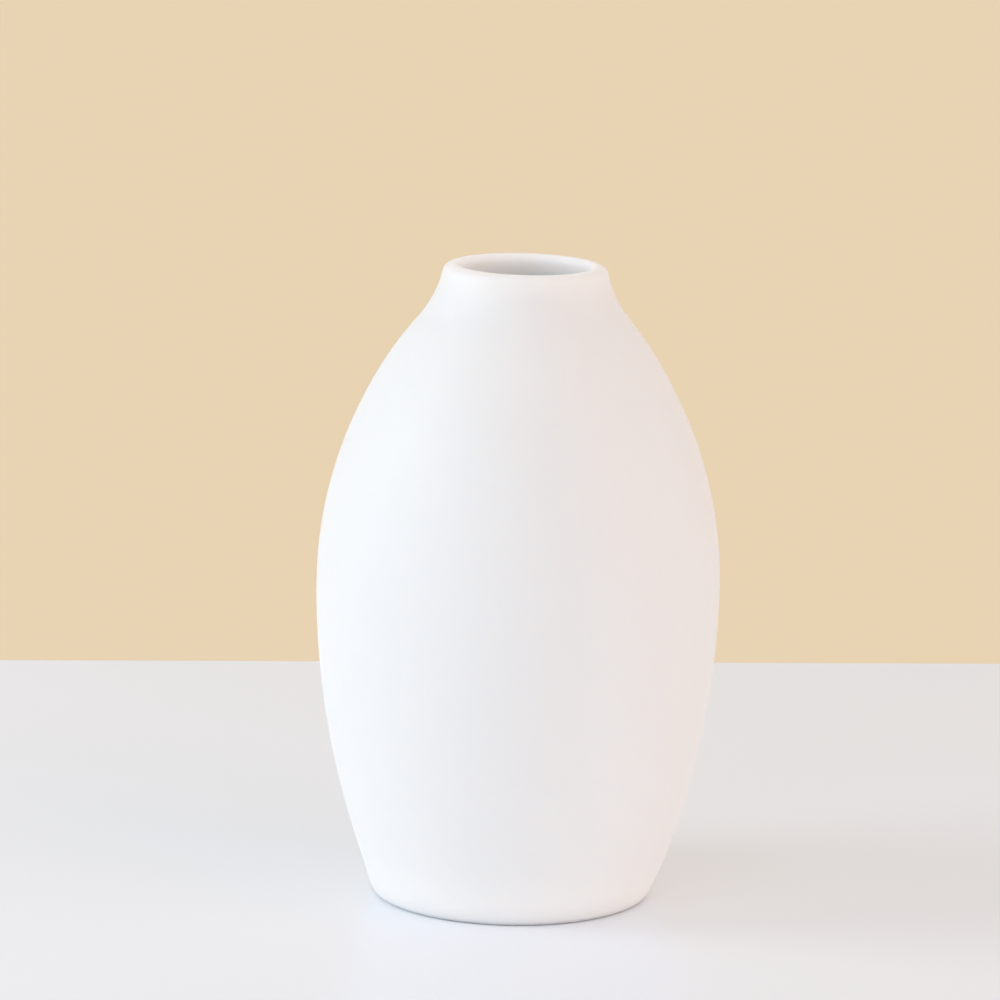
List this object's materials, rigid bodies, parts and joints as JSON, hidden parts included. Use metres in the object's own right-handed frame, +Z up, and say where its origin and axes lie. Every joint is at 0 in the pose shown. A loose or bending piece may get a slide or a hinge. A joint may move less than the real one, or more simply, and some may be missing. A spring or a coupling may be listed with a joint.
{
  "type": "vase",
  "caption": "Egg-shaped white ceramic vase with a short neck, a rounded lip, an open cavity and a flat foot ring.",
  "frame": {"origin": "centre of the foot, on the surface the vase stands on", "axes": "+Z up along the vase's axis, through the mouth; +X and +Y are free, because the vase is round"},
  "size_m": [0.126, 0.126, 0.2],
  "materials": {
    "matte_ceramic": "matte white",
    "clear_glaze": "thin satin white glaze"
  },
  "bodies": {
    "root": {"vase_body": "matte_ceramic", "inner_glaze": "clear_glaze"}
  },
  "joints": []
}
